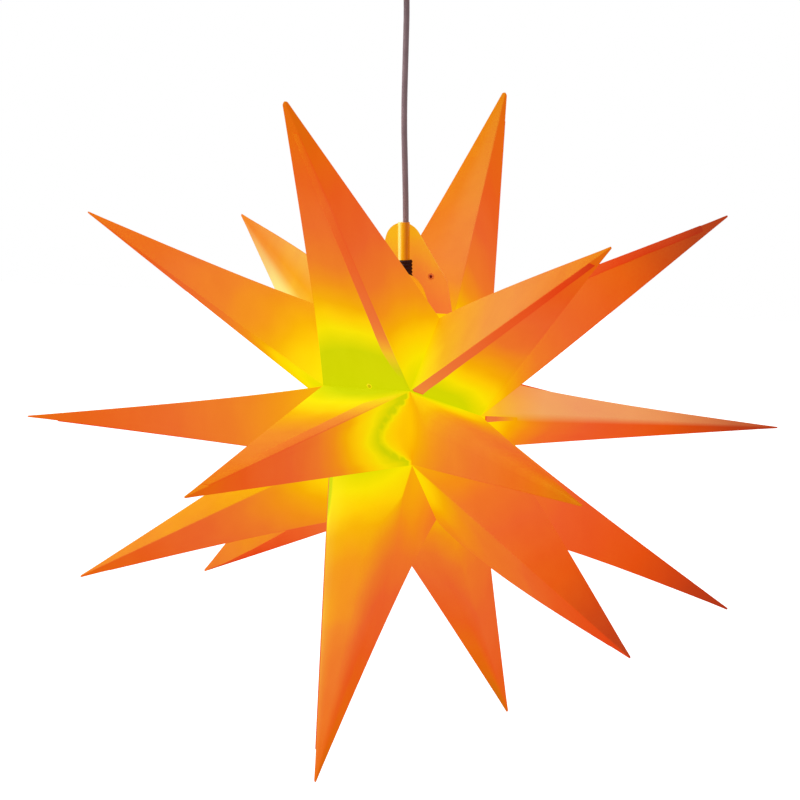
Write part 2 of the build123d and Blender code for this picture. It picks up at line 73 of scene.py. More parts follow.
# Four-sided points with a sharper tip
SHARP_TIPS = {"front_middle": 0.0009, "lower_front_middle": 0.0009, "lower_rear_middle": 0.0009}
SWELL_POWER = 0.7  # brings the fullest place of a bow or bulge nearer to the base
BOW_CHANCE = (-0.0003, 0.0005)  # added to every bow
BULGE_CHANCE = (0.0003, 0.0012)  # by which a face swells
# Rings of a point, as shares of the way from its base to its tip
RINGS = (0, 0.006, 0.02, 0.04, 0.06, 0.08, 0.1, 0.12, 0.14, 0.16, 0.18, 0.2, 0.23, 0.26, 0.3,
         0.4, 0.5, 0.6, 0.7, 0.8, 0.88, 0.94)
DOME = (0, 0.3, 0.6, 0.85, 0.96)  # rings of the blunt tip, as shares of its length
CREASE_STEPS = (0, 0.25, 0.5, 0.75, 1)
# Steps across a face, between its two creases
FACE_STEPS = (0.08, 0.16, 0.25, 0.33, 0.42, 0.5, 0.58, 0.67, 0.75, 0.84, 0.92)

LETTERS = "ABCD"  # of the base corners, in order round a point

# How far ridges of the soft sheet bow out, by point and base corner
BOWS = {
    "upper_front_left": {"A": -0.0032},
    "upper_front_middle": {"C": -0.002},
    "upper_front_right": {"A": 0.0015},
    "front_left": {"A": -0.003, "B": -0.001},
    "lower_front_left": {"B": -0.0025, "C": -0.0015},
    "lower_front_middle": {"D": -0.003},
    "lower_front_right": {"B": 0.0072, "C": 0.0030},
    "upper_rear_left": {"A": 0.007, "C": 0.0015},
    "upper_rear_middle": {"B": -0.0015},
    "upper_rear_right": {"A": -0.002, "C": 0.0015},
    "rear_right": {"A": -0.0035, "B": -0.001},
    "lower_rear_middle": {"A": -0.001, "C": -0.001},
    "lower_rear_right": {"B": -0.0075, "C": -0.0035},
}
# Ridges that are soft bends: how far the bend reaches, and where on the ridge it starts to open
BENDS = {
    "front_right": {"A": (0.034, 0.0)},
    "lower_front_middle": {"A": (0.022, 0.1)},
    "lower_rear_middle": {"D": (0.012, 0.0)},
    "rear_right": {"C": (0.008, 0.0)},
    "upper_front_left": {"A": (0.006, 0.0)},
}
BEND_OPENING = 0.15  # share of the ridge over which a bend opens

# Tips that are pressed out a little further than the solid's
LONG_TIPS = {"upper_front_middle": 0.0014, "upper_rear_middle": 0.0014}

# Overlap strips of the folded sheet, each along a ridge from near the base to near the tip
STRIP_WIDTH = 0.0095
STRIP_END_WIDTH = 0.0045
STRIP_WANDER = 0.0002  # by which the width varies
STRIP_OFFSET = 0.0002  # from the ridge
STRIP_START = 0.003
STRIP_TAPER = 0.032  # to where the strip of a four-sided point widens
STRIP_TAPER_LEAST = 0.1  # share of its width where it starts
STRIP_STOP = 0.9  # share of the ridge, as are the next two
STRIP_STOPS = {"rear_right": 0.12, "lower_rear_left": 0.97}
POINTED_STRIPS = {"lower_rear_left": 0.42}  # from there the strip narrows to its end
POINT_LEAST = 0.08  # share of its width that is left there
WIDE_STRIPS = {"front_middle": 1.6, "lower_rear_left": 1.6}  # times the usual width
# Where a strip differs from the sheet: shares of its ridge where that starts, is full, fades and ends
STRIP_SHADES = {
    "upper_front_middle": (0.06, 0.22, 0.45, 0.68),
    "front_middle": (0.03, 0.30, 0.42, 0.72),
    "rear_right": (-0.02, -0.01, 0.05, 0.11),
}
STRIP_SHADE = (-0.02, -0.01, 1.01, 1.02)  # of the other strips: from end to end
STRIP_STRENGTHS = {"front_middle": 0.65}  # of that difference, where it isn't full
STRIP_ROWS = 16
STRIP_ROW_POWER = 1.2  # sets the rows closer near the base
STRIP_END_SHADE = 0.12  # painted shade at a cut end: how much further off the lamp seems there
STRIP_END_LENGTH = 0.0012
STRIP_LIFT = 0.0006
LOOSE_LIFT = 0.0011  # more, at the cut end of a strip on a three-sided point
LOOSE_LENGTH = 0.014
STRIP_SINK = 0.0002  # below the sheet's face, so that no light passes under
STRIP_SECTION = ((0, 0.6), (0.1, 1), (0.9, 1), (1, 0.4))  # shares of the width and of the lift
# Base corner where the strip's ridge starts, then the other base corner of its face
MIDDLE_STRIPS = ["DC", "AB", "BC"]
POLAR_STRIPS = ["BC", "BC", "AC"]
OTHER_STRIPS = {
    "upper_front_left": "CA",
    "lower_front_left": "BC",
    "lower_rear_left": "BC",
    "upper_rear_right": "AC",
    "rear_right": "CB",
    "lower_front_right": "BC",
    "front_right": "",  # shows none
}

# How much further off the lamp seems than it is, by point and by the first corner of a face:
# metres at shares of the way from the base to the tip
FURTHER = {
    "upper_front_left": {
        "A": [(0, 0.014), (0.15, 0.0), (0.4, -0.022), (1, -0.040)],
        "B": [(0, 0.008), (0.2, -0.015), (1, -0.025)],
    },
    "upper_front_middle": {"C": [(0, -0.021), (1, -0.021)]},
    "upper_front_right": {
        "A": [(0, 0.004), (0.3, -0.014), (1, -0.030)],
        "B": [(0, -0.021), (1, -0.018)],
    },
    "front_left": {"A": [(0, 0.040), (0.3, 0.012), (1, -0.030)]},
    "front_middle": {
        "A": [(0, 0.002), (1, -0.020)],
        "D": [(0, 0.030), (0.06, 0.020), (0.12, 0.003), (0.16, -0.026), (0.25, -0.015), (1, -0.010)],
    },
    "front_right": {"A": [(0, 0.030), (0.1, 0.022), (1, 0.0)]},
    "lower_front_left": {"A": [(0, 0.010), (1, -0.035)], "C": [(0, 0.018), (1, -0.122)]},
    "lower_front_middle": {
        "A": [(0, 0.006), (0.1, 0.0), (0.2, -0.002), (0.3, -0.012), (0.5, -0.042), (1, -0.070)],
        "D": [(0, 0.030), (0.12, 0.015), (1, 0.005)],
    },
    "lower_front_right": {
        "A": [(0, 0.004), (0.3, -0.010), (1, -0.065)],
        "C": [(0, 0.030), (0.16, 0.012), (1, 0.006)],
    },
    "upper_rear_left": {"C": [(0, 0.0), (0.35, -0.045), (0.5, -0.078), (1, -0.112)]},
    "upper_rear_middle": {
        "A": [(0, -0.008), (0.1, -0.002), (0.18, 0.013), (0.5, 0.018), (1, -0.050)],
        "D": [(0, -0.014), (0.5, -0.014), (1, -0.045)],
    },
    "upper_rear_right": {"C": [(0, -0.014), (0.4, 0.004), (1, 0.016)]},
    "rear_right": {"B": [(0, -0.012), (1, 0.015)]},
    "lower_rear_left": {"B": [(0, 0.0), (0.4, -0.030), (0.6, -0.090), (1, -0.140)]},
    "lower_rear_middle": {"D": [(0, -0.004), (1, -0.085)]},
}
# Faces whose light follows an arc over the base, from corner to corner, by their first corner
ARCHED = {"front_middle": "D"}
ARCH_LEAST = 0.08  # share of the arc's height that is left at the corners
# Tips with painted shade that stay dark red, by how much further off the lamp seems there
SHADED_TIPS = {
    "upper_rear_right": 0.042,
    "lower_front_right": 0.030,
    "lower_rear_right": 0.025,
    "rear_right": 0.015,
}
SHADE_START = 0.5  # share of the point's length
# Faces that catch a pale sheen: evenly spaced values from their first corner to the next
PALE = {
    "upper_front_right": {"A": [0.4]},
    "lower_front_middle": {"A": [0.0, 0.0, 0.0, 0.05, 0.3]},
    "upper_rear_left": {"B": [1.0], "C": [3.0, 2.5, 0.3, 0.0, 0.4, 0.6]},
    "upper_rear_middle": {"A": [0.3, 0.25, 0.05, 0.0]},
    "rear_right": {"C": [1.15]},
}
PALE_OPENING = 0.4  # share of the length over which the sheen comes up
EARLY_PALE = {"rear_right": 0.2}
PALE_CLOSING = 0.45  # share of the length over which it goes again, towards the tip
# Faces that are lighter along the ridge of their next corner: as FURTHER, but only beside it
EDGE_LIGHT = {
    "lower_front_middle": {
        "A": [(0, 0), (0.15, -0.011), (0.28, -0.010), (0.42, -0.006), (0.57, -0.030), (1, -0.046)],
    },
}
EDGE_SHARE = 0.55  # of the face's width
NO_STOPS = [(0, 0), (1, 0)]  # for faces that neither table names
# Ridges that let more light through near the base, by how much nearer the lamp seems
BRIGHT_RIDGES = {"lower_front_middle": {"B": -0.060}}
BRIGHT_REACH = 0.25  # share of the ridge

# Small marks
DISC_SIDES = 24
# Discs of painted shade in the tongue's eyelets, where their bores show only shade
SHADE_DISC_RADIUS = 0.00118
SHADE_DISC_REACH = 0.0008
PUNCH_POINT = "upper_front_middle"
PUNCH_FACE = "C"  # by its first corner
PUNCH_PLACE = (0.009, 0.545)  # shares of the way to the tip and across the face
PUNCH_RIM = (0.0021, 0.0002)  # its radius, and its reach to both sides of the face
PUNCH_HOLE = (0.0014, 0.0004)

# Camera of the photograph
AZIMUTH = 29.87
ELEVATION = 7.24
DISTANCE = 2.223
LENS = 136.1
SENSOR_WIDTH = 36.0
FRAME_SIZE = 800
STAR_PIXEL = (405.8, 413.3)

# Soft square lamps of the studio: azimuth, elevation, distance, size and watts
LAMPS = {
    "key": (-63, 48, 1.1, 0.9, 9),
    "front": (-18, 5, 1.8, 0.5, 3),
    "back": (170, 30, 2.2, 1.4, 8),
}
AMBIENT = 0.46  # light of the white surroundings
WHITE = (1, 1, 1, 1)
FLOOR_DROP = 2.0  # from the star's centre, as in a room
FLOOR_SIZE = 40.0
FLOOR_TINTS = ((0.8, 0.8, 0.8), (0.84, 0.84, 0.84))
FLOOR_ROUGHNESS = 0.9

# Lamp's glow, as it shows through the sheet
GLOW_CENTRE = STAR + Vector((-0.006, -0.026, 0.002))
GLOW_NEAR = 0.045
GLOW_FAR = 0.33
TONGUE_TOP = 0.139  # above the star's centre
TONGUE_LEAN = 5.2  # towards the front, in degrees

# Sleeve's sides and colours as the photograph shows them, along a level line across the view
SLEEVE_ACROSS = (0.867, 0.498, 0.0)
SLEEVE_SIDES = (-0.0057, 0.0029)
SLEEVE_CLOUDS = (-0.04, 0.04)  # by which a place across seems to vary
# Painted highlight towards the left side and painted shade towards the right, fixed across the view
SLEEVE_STOPS = [
    (0.02, (0.85, 0.53, 0.08)),
    (0.14, (0.93, 0.69, 0.24)),
    (0.30, (0.73, 0.42, 0.012)),
    (0.50, (0.67, 0.27, 0.002)),
    (0.72, (0.49, 0.127, 0.001)),
    (0.95, (0.61, 0.187, 0.0035)),
]

# Spans for values of noise and for shares
NOISE_SPAN = (0.3, 0.7)
TONE_SPAN = (0.35, 0.65)
UNIT = (0, 1)
# Colour sockets of a Mix node, by number, since its sockets share their names
MIX_FIRST, MIX_SECOND, MIX_RESULT = 6, 7, 2


def node_graph(name):
    """A new material with its node tree, its Principled shader and a coordinate node."""
    material = bpy.data.materials.new(name)
    material.use_nodes = True
    tree = material.node_tree
    shader = tree.nodes["Principled BSDF"]
    coordinates = tree.nodes.new("ShaderNodeTexCoord")
    return material, tree, shader, coordinates.outputs["Object"]


def add_noise(tree, vector, scale, detail=3.0, stretch=None):
    """A noise texture's value, with its space stretched along an axis where that is asked for."""
    noise = tree.nodes.new("ShaderNodeTexNoise")
    noise.inputs["Scale"].default_value = scale
    noise.inputs["Detail"].default_value = detail
    if stretch:
        mapping = tree.nodes.new("ShaderNodeMapping")
        mapping.inputs["Scale"].default_value = stretch
        tree.links.new(vector, mapping.inputs["Vector"])
        vector = mapping.outputs["Vector"]
    tree.links.new(vector, noise.inputs["Vector"])
    return noise.outputs["Fac"]


def add_math(tree, operation, first, second):
    """Two values, sockets or numbers, put together."""
    node = tree.nodes.new("ShaderNodeMath")
    node.operation = operation
    for socket, value in zip(node.inputs, (first, second)):
        if isinstance(value, (int, float)):
            socket.default_value = value
        else:
            tree.links.new(value, socket)
    return node.outputs["Value"]


def add_range(tree, value, span, target):
    """A value carried over from one span of numbers to another."""
    node = tree.nodes.new("ShaderNodeMapRange")
    tree.links.new(value, node.inputs["Value"])
    for name, number in zip(("From Min", "From Max", "To Min", "To Max"), (*span, *target)):
        node.inputs[name].default_value = number
    return node.outputs["Result"]


def add_ramp(tree, value, stops):
    """A colour ramp through stops of a place from 0 to 1 and a linear colour."""
    node = tree.nodes.new("ShaderNodeValToRGB")
    elements = node.color_ramp.elements
    while len(elements) < len(stops):
        elements.new(0.5)
    for element, (place, colour) in zip(elements, stops):
        element.position = place
        element.color = (*colour, 1)
    tree.links.new(value, node.inputs["Fac"])
    return node.outputs["Color"]


def add_tones(tree, value, tones, span=TONE_SPAN):
    """A soft change from one colour to another over a span of a noise's values."""
    return add_ramp(tree, value, list(zip(span, tones)))


def vary_roughness(tree, shader, value, roughness):
    """Roughness that goes with a noise, between two values."""
    tree.links.new(add_range(tree, value, NOISE_SPAN, roughness), shader.inputs["Roughness"])


def add_attribute(tree, name):
    """A value that each vertex of the mesh carries."""
    node = tree.nodes.new("ShaderNodeAttribute")
    node.attribute_name = name
    return node.outputs["Fac"]


def add_mix(tree, blend, factor, first, second):
    """Two colours mixed or added, where the second may be constant."""
    node = tree.nodes.new("ShaderNodeMix")
    node.data_type = "RGBA"
    node.blend_type = blend
    node.clamp_factor = False
    tree.links.new(factor, node.inputs["Factor"])
    tree.links.new(first, node.inputs[MIX_FIRST])
    if isinstance(second, tuple):
        node.inputs[MIX_SECOND].default_value = second
    else:
        tree.links.new(second, node.inputs[MIX_SECOND])
    return node.outputs[MIX_RESULT]


def add_bump(tree, shader, height, strength, distance):
    """Fine relief from a value, given to the shader's normal."""
    node = tree.nodes.new("ShaderNodeBump")
    node.inputs["Strength"].default_value = strength
    node.inputs["Distance"].default_value = distance
    tree.links.new(height, node.inputs["Height"])
    tree.links.new(node.outputs["Normal"], shader.inputs["Normal"])


def linear(red, green, blue):
    """Linear colour from display values of 0 to 255."""
    def one(value):
        value /= 255
        return value / 12.92 if value <= 0.04045 else ((value + 0.055) / 1.055) ** 2.4
    return one(red), one(green), one(blue)


# Glow that shows through the sheet and through an overlap, by distance from the lamp in metres
GLOW_STOPS = [
    (0.045, (0.55, 0.55, 0)),
    (0.062, (0.86, 0.66, 0)),
    (0.075, (0.90, 0.50, 0)),
    (0.085, (0.83, 0.32, 0)),
    (0.100, (0.80, 0.19, 0.007)),
    (0.120, (0.77, 0.1, 0.019)),
    (0.150, (0.75, 0.045, 0.022)),
    (0.190, (0.74, 0.022, 0.010)),
    (0.225, (0.72, 0.040, 0.003)),
    (0.260, (0.64, 0.050, 0.001)),
    (0.310, (0.52, 0.050, 0.002)),
]
OVERLAP_STOPS = [
    (0.055, (0.76, 0.2, 0.04)),
    (0.100, (0.75, 0.13, 0.030)),
    (0.150, (0.74, 0.07, 0.012)),
    (0.220, (0.70, 0.02, 0.002)),
    (0.260, (0.56, 0.008, 0.002)),
    (0.310, (0.36, 0.004, 0.004)),
]
SHEET_TONES = ((0.135, 0.18, 0.004), (0.155, 0.20, 0.006))
OVERLAP_TONES = ((0.135, 0.075, 0.012), (0.155, 0.085, 0.015))
PALE_SHEEN = (0.02, 0.18, 0.09, 1)
SHEET_CLOUDS = (0.96, 1.04)  # by which the lamp's distance seems to vary
SHEET_STREAKS = (1.0, 1.0, 0.35)  # stretch of the streaks, drawn out along Z
GRAIN_SHARE = 0.04  # of the fine grain, beside the sheet's slow waves
# Tongue's glow, by its height from the fold to the top
TONGUE_STOPS = [
    (0.0, (0.79, 0.10, 0.03)),
    (0.45, (0.79, 0.15, 0.025)),
    (0.9, (0.80, 0.32, 0.008)),
]
TONGUE_CLOUDS = (-0.2, 0.2)  # by which that height seems to vary


def sheet_material(name):
    """Satin translucent sheet that glows by its distance from the lamp, and redder in an overlap."""
    material, tree, shader, place = node_graph(name)
    offset = tree.nodes.new("ShaderNodeVectorMath")
    offset.operation = "DISTANCE"
    offset.inputs[1].default_value = GLOW_CENTRE
    tree.links.new(place, offset.inputs[0])
    clouds = add_noise(tree, place, scale=22.0, detail=2.0)
    cloudy = add_range(tree, clouds, NOISE_SPAN, SHEET_CLOUDS)
    distance = add_math(tree, "MULTIPLY", offset.outputs["Value"], cloudy)
    distance = add_math(tree, "ADD", distance, add_attribute(tree, "further"))
    share = add_range(tree, distance, (GLOW_NEAR, GLOW_FAR), UNIT)
    span = GLOW_FAR - GLOW_NEAR
    streaks = add_noise(tree, place, scale=60.0, detail=4.0, stretch=SHEET_STREAKS)
    glows, bases = [], []
    for stops, tones in ((GLOW_STOPS, SHEET_TONES), (OVERLAP_STOPS, OVERLAP_TONES)):
        shares = [((metres - GLOW_NEAR) / span, colour) for metres, colour in stops]
        glows.append(add_ramp(tree, share, shares))
        bases.append(add_tones(tree, streaks, tones))
    overlap = add_attribute(tree, "overlap")
    glow = add_mix(tree, "MIX", overlap, *glows)
    sheen = add_mix(tree, "ADD", add_attribute(tree, "pale"), glow, PALE_SHEEN)
    tree.links.new(sheen, shader.inputs["Emission Color"])
    shader.inputs["Emission Strength"].default_value = 1.0
    tree.links.new(add_mix(tree, "MIX", overlap, *bases), shader.inputs["Base Color"])
    vary_roughness(tree, shader, streaks, (0.42, 0.5))
    shader.inputs["Specular IOR Level"].default_value = 0.0
    grain = add_noise(tree, place, scale=900.0, detail=2.0)
    waves = add_noise(tree, place, scale=30.0, detail=1.0)
    height = add_math(tree, "ADD", add_math(tree, "MULTIPLY", grain, GRAIN_SHARE), waves)
    add_bump(tree, shader, height, strength=0.2, distance=0.002)
    return material


def tongue_material(name):
    """The same sheet outside the lamp's reach, with a painted glow: lighter amber at its top, where
    outside light falls, and redder towards the fold.
    """
    material, tree, shader, place = node_graph(name)
    split = tree.nodes.new("ShaderNodeSeparateXYZ")
    tree.links.new(place, split.inputs["Vector"])
    heights = (STAR.z + SEAM_RADIUS, STAR.z + TONGUE_TOP)
    height = add_range(tree, split.outputs["Z"], heights, UNIT)
    clouds = add_range(tree, add_noise(tree, place, scale=45.0), UNIT, TONGUE_CLOUDS)
    height = add_math(tree, "ADD", height, clouds)
    tree.links.new(add_ramp(tree, height, TONGUE_STOPS), shader.inputs["Emission Color"])
    shader.inputs["Emission Strength"].default_value = 1.0
    streaks = add_noise(tree, place, scale=60.0, detail=4.0, stretch=SHEET_STREAKS)
    tree.links.new(add_tones(tree, streaks, SHEET_TONES), shader.inputs["Base Color"])
    vary_roughness(tree, shader, streaks, (0.35, 0.45))
    shader.inputs["Specular IOR Level"].default_value = 0.02
    grain = add_noise(tree, place, scale=900.0, detail=2.0)
    add_bump(tree, shader, grain, strength=0.15, distance=0.0001)
    return material


def sleeve_material(name):
    """Glossy amber tube with a painted highlight on its left side, painted shade deeper on its right,
    and a painted glow.
    """
    material, tree, shader, place = node_graph(name)
    across = tree.nodes.new("ShaderNodeVectorMath")
    across.operation = "DOT_PRODUCT"
    across.inputs[1].default_value = SLEEVE_ACROSS
    tree.links.new(place, across.inputs[0])
    share = add_range(tree, across.outputs["Value"], SLEEVE_SIDES, UNIT)
    clouds = add_range(tree, add_noise(tree, place, scale=90.0), UNIT, SLEEVE_CLOUDS)
    share = add_math(tree, "ADD", share, clouds)
    amber = add_ramp(tree, share, SLEEVE_STOPS)
    tree.links.new(amber, shader.inputs["Base Color"])
    tree.links.new(amber, shader.inputs["Emission Color"])
    shader.inputs["Emission Strength"].default_value = 0.45
    fine = add_noise(tree, place, scale=700.0, detail=2.0)
    vary_roughness(tree, shader, fine, (0.2, 0.3))
    shader.inputs["Specular IOR Level"].default_value = 0.1
    add_bump(tree, shader, fine, strength=0.2, distance=0.00005)
    return material


def moulded_material(name, colours, roughness, glow=None, shine=0.5, grain=700.0):
    """Moulded plastic or rubber: two close colours in soft clouds, with a fine grain."""
    material, tree, shader, place = node_graph(name)
    colour = add_tones(tree, add_noise(tree, place, scale=40.0, detail=4.0), colours)
    tree.links.new(colour, shader.inputs["Base Color"])
    fine = add_noise(tree, place, scale=grain, detail=2.0)
    vary_roughness(tree, shader, fine, roughness)
    shader.inputs["Specular IOR Level"].default_value = shine
    add_bump(tree, shader, fine, strength=0.3, distance=0.0001)
    if glow:
        tree.links.new(colour, shader.inputs["Emission Color"])
        shader.inputs["Emission Strength"].default_value = glow
    return material


def metal_material(name, colours, roughness, stretch=(1, 1, 8)):
    """Metal with fine marks, close together along the axis that is stretched."""
    material, tree, shader, place = node_graph(name)
    marks = add_noise(tree, place, scale=500.0, detail=3.0, stretch=stretch)
    tree.links.new(add_tones(tree, marks, colours, NOISE_SPAN), shader.inputs["Base Color"])
    vary_roughness(tree, shader, marks, roughness)
    shader.inputs["Metallic"].default_value = 1.0
    add_bump(tree, shader, marks, strength=0.2, distance=0.00005)
    return material


SHEET_MATERIAL = sheet_material("star_sheet")


def on_star(angle, radius, along):
    """A point by its angle round the pole axis, its distance from it and its place along it."""
    turn = math.radians(angle)
    return STAR + Vector((along, -radius * math.sin(turn), radius * math.cos(turn)))


def value_at(stops, place):
    """The value at a place, between stops of a place and a value."""
    for (start, low), (end, high) in zip(stops, stops[1:]):
        if place <= end:
            return low + (high - low) * (place - start) / (end - start)
    return stops[-1][1]


class StarPoint:
    """One hollow point of the star, by its base corners and the tip of its solid."""

    def __init__(self, name, base):
        self.name = name
        self.base = base
        self.sides = len(base)
        mesh = nodes[f"point_{name}"].data
        self.tip = max((v.co.copy() for v in mesh.vertices), key=lambda p: (p - STAR).length)
        self.middle = sum(base, Vector()) / self.sides
        self.tip += (self.tip - self.middle).normalized() * LONG_TIPS.get(name, 0)
        self.tip_radius = SHARP_TIPS.get(name, TIP_RADIUS[self.sides])
        self.blunt = self.tip_radius / max((p - self.middle).length for p in base)
        chance = random.Random(name)
        letters = LETTERS[: self.sides]
        self.bows = [BOWS.get(name, {}).get(c, 0) + chance.uniform(*BOW_CHANCE) for c in letters]
        self.bends = [BENDS.get(name, {}).get(c, (0, 0)) for c in letters]
        self.bulges = [chance.uniform(*BULGE_CHANCE) for c in letters]
        self.further = [FURTHER.get(name, {}).get(c, NO_STOPS) for c in letters]
        self.edge_light = [EDGE_LIGHT.get(name, {}).get(c, NO_STOPS) for c in letters]
        self.bright = [BRIGHT_RIDGES.get(name, {}).get(c, 0) for c in letters]
        self.pale = [PALE.get(name, {}).get(c, [0]) for c in letters]
        self.pale_opening = EARLY_PALE.get(name, PALE_OPENING)
        self.dark = SHADED_TIPS.get(name, 0)
        self.arched = [c in ARCHED.get(name, "") for c in letters]

    def corner(self, i, t):
        """The ridge from base corner i at share t of its way to the tip, slightly bowed."""
        out = self.base[i % self.sides] - self.middle
        straight = self.middle.lerp(self.tip, t) + out * (1 - t + self.blunt * t)
        bow = self.bows[i % self.sides] * math.sin(math.pi * t**SWELL_POWER)
        return straight + out.normalized() * bow

    def face_normal(self, i):
        """Outward direction of face i."""
        a, b = self.base[i % self.sides], self.base[(i + 1) % self.sides]
        normal = (a - self.tip).cross(b - self.tip).normalized()
        return normal if normal.dot((a + b) / 2 - self.middle) > 0 else -normal

    def on_face(self, i, t, u):
        """A place on face i: t towards the tip and u across, with the face's soft bulge."""
        flat = self.corner(i, t).lerp(self.corner(i + 1, t), u)
        rise = self.bulges[i % self.sides] * math.sin(math.pi * u) * math.sin(math.pi * t**SWELL_POWER)
        return flat + self.face_normal(i) * rise

    def crease(self, i, t, width):
        """How far the crease of ridge i reaches on a face of that width, as a share of it."""
        reach, start = self.bends[i % self.sides]
        bend = reach * (1 - t) * min(max((t - start) / BEND_OPENING, 0), 1)
        return min((CREASE + bend) / width, BEND_LIMIT if bend else CREASE_LIMIT)

    def ring(self, t):
        """The sheet's outline at share t of the way to the tip, with rounded ridges."""
        reaches, faces = [], []
        for i in range(self.sides):
            width = (self.corner(i + 1, t) - self.corner(i, t)).length
            low, high = self.crease(i, t, width), 1 - self.crease(i + 1, t, width)
            ease = min(EASE / width, EASE_SHARE * (high - low))
            steps = [low + (high - low) * u for u in FACE_STEPS]
            faces.append([self.on_face(i, t, u) for u in (low + ease, *steps, high - ease)])
            reaches.append((self.on_face(i, t, low), self.on_face(i, t, high)))
        outline = []
        for i in range(self.sides):
            start, ridge, end = reaches[i - 1][1], self.corner(i, t), reaches[i][0]
            outline += [start.lerp(ridge, s).lerp(ridge.lerp(end, s), s) for s in CREASE_STEPS]
            outline += faces[i]
        return outline

    def shade_at(self, t):
        """How far the painted shade of the tip has come at share t, from 0 to 1."""
        past = max(0, t - SHADE_START) / (1 - SHADE_START)
        return past * (2 - past) if self.dark else 0

    def further_at(self, i, t, u=0.5):
        """How much further off the lamp seems on face i, at share t and at share u across."""
        edge = value_at(self.edge_light[i], t) * max(0, 1 - (1 - u) / EDGE_SHARE)
        if self.arched[i]:
            t = t / max(math.sin(math.pi * u), ARCH_LEAST)
        return value_at(self.further[i], t) + edge

    def pale_at(self, i, t, u):
        """The sheen of face i at share t of the length and share u of the way across."""
        values = self.pale[i]
        place = u * (len(values) - 1)
        k = min(int(place), max(len(values) - 2, 0))
        following = values[min(k + 1, len(values) - 1)]
        across = values[k] + (following - values[k]) * (place - k)
        return across * min(t / self.pale_opening, (1 - t) / PALE_CLOSING, 1)

    def ring_further(self, t):
        """The further distance at each place of a ring."""
        near_base = max(0, 1 - t / BRIGHT_REACH)
        tip = self.dark * self.shade_at(t)
        values = []
        for i in range(self.sides):
            back, here = self.further_at(i - 1, t, 1), self.further_at(i, t, 0)
            values += [back + (here - back) * s + self.bright[i] * near_base for s in CREASE_STEPS]
            values += [self.further_at(i, t, u) for u in (0, *FACE_STEPS, 1)]
        return [v + tip for v in values]

    def ring_pale(self, t):
        """The sheen at each place of a ring."""
        values = []
        for i in range(self.sides):
            back, here = self.pale_at(i - 1, t, 1), self.pale_at(i, t, 0)
            values += [back + (here - back) * s for s in CREASE_STEPS]
            values += [self.pale_at(i, t, u) for u in (0, *FACE_STEPS, 1)]
        return values

    def ring_overlap(self, t):
        """Painted shade: a dark tip takes the redder colours of a doubled sheet."""
        return [self.shade_at(t)] * (self.sides * (len(CREASE_STEPS) + len(FACE_STEPS) + 2))

    def outer_rings(self):
        """The sheet's rings from the base to the blunt tip, each with its place."""
        rings = [(t, self.ring(t)) for t in RINGS]
        dome = self.tip_radius / (self.tip - self.middle).length
        for share in DOME:
            t = 1 - dome * (1 - share)
            middle = self.middle.lerp(self.tip, t)
            shrink = math.sqrt(1 - share**2)
            rings.append((t, [middle + (p - middle) * shrink for p in self.ring(t)]))
        return rings

    def inner_radius(self, t):
        """Least distance from the middle of a ring to its faces."""
        middle = self.middle.lerp(self.tip, t)
        return min(
            abs((self.corner(i, t) - middle).dot(self.face_normal(i))) for i in range(self.sides)
        )

    def inner_ring(self, ring, t):
        """A ring drawn in by the sheet's thickness."""
        middle = sum(ring, Vector()) / len(ring)
        scale = 1 - SHEET / self.inner_radius(t)
        return [middle + (p - middle) * scale for p in ring]


def star_points():
    """All points, each with the letters of its strip and the name of its half."""
    seam_angle = math.degrees(math.asin(SEAM_GAP / 2 / SEAM_RADIUS))
    edges = [
        (seam_angle, SEAM_RADIUS),
        (UPPER_VALLEY_ANGLE, VALLEY_RADIUS),
        (LOWER_VALLEY_ANGLE, VALLEY_RADIUS),
        (HINGE_ANGLE, HINGE_RADIUS),
    ]
    even = {-1: -GORE_HALF_WIDTH, 1: GORE_HALF_WIDTH}
    hinge = {-1: -HINGE_HALF_WIDTH, 1: HINGE_HALF_WIDTH}
    ends = {
        "front": [even, {-1: -FRONT_WIDE_END, 1: GORE_HALF_WIDTH}, even, hinge],
        "rear": [even, {-1: -GORE_HALF_WIDTH, 1: REAR_WIDE_END}, even, hinge],
    }
    poles = {
        -1: STAR + Vector((-POLE_REACH, 0, 0)),
        1: STAR + Vector((POLE_REACH, 0, RIGHT_POLE_RISE)),
    }
    made = []
    for half, end in ((1, "front"), (-1, "rear")):
        corners = [
            {side: on_star(half * angle, radius, along) for side, along in pair.items()}
            for (angle, radius), pair in zip(edges, ends[end])
        ]
        for gore, gore_name in enumerate((f"upper_{end}", end, f"lower_{end}")):
            first, last = corners[gore : gore + 2]
            for row, row_name in ((-1, "left"), (0, "middle"), (1, "right")):
                name = f"{gore_name}_{row_name}"
                if row == 0:
                    base = [first[1], first[-1], last[-1], last[1]]
                    strip = MIDDLE_STRIPS[gore]
                else:
                    base = [first[row], last[row], poles[row]]
                    strip = POLAR_STRIPS[gore]
                made.append((StarPoint(name, base), OTHER_STRIPS.get(name, strip), end))
    return made


def mesh_piece(name, vertices, faces, material):
    """A smooth-shaded mesh object with its faces turned outwards."""
    mesh = bpy.data.meshes.new(name)
    mesh.from_pydata(vertices, [], faces)
    graph = bmesh.new()
    graph.from_mesh(mesh)
    bmesh.ops.recalc_face_normals(graph, faces=graph.faces)
    for face in graph.faces:
        face.smooth = True
    graph.to_mesh(mesh)
    graph.free()
    mesh.materials.append(material)
    piece = bpy.data.objects.new(name, mesh)
    bpy.context.scene.collection.objects.link(piece)
    return piece


def skin(rings, first_end=None, last_end=None):
    """Vertices and quads through rings of equal count, closed by a vertex at an end, if given."""
    count = len(rings[0])
    vertices = [p for ring in rings for p in ring]
    faces = []
    for k in range(len(rings) - 1):
        for i in range(count):
            j = (i + 1) % count
            faces.append((k * count + i, k * count + j, (k + 1) * count + j, (k + 1) * count + i))
    for end, ring in ((first_end, 0), (last_end, len(rings) - 1)):
        if end is not None:
            vertices.append(end)
            apex = len(vertices) - 1
            faces += [(ring * count + i, ring * count + (i + 1) % count, apex) for i in range(count)]
    return vertices, faces


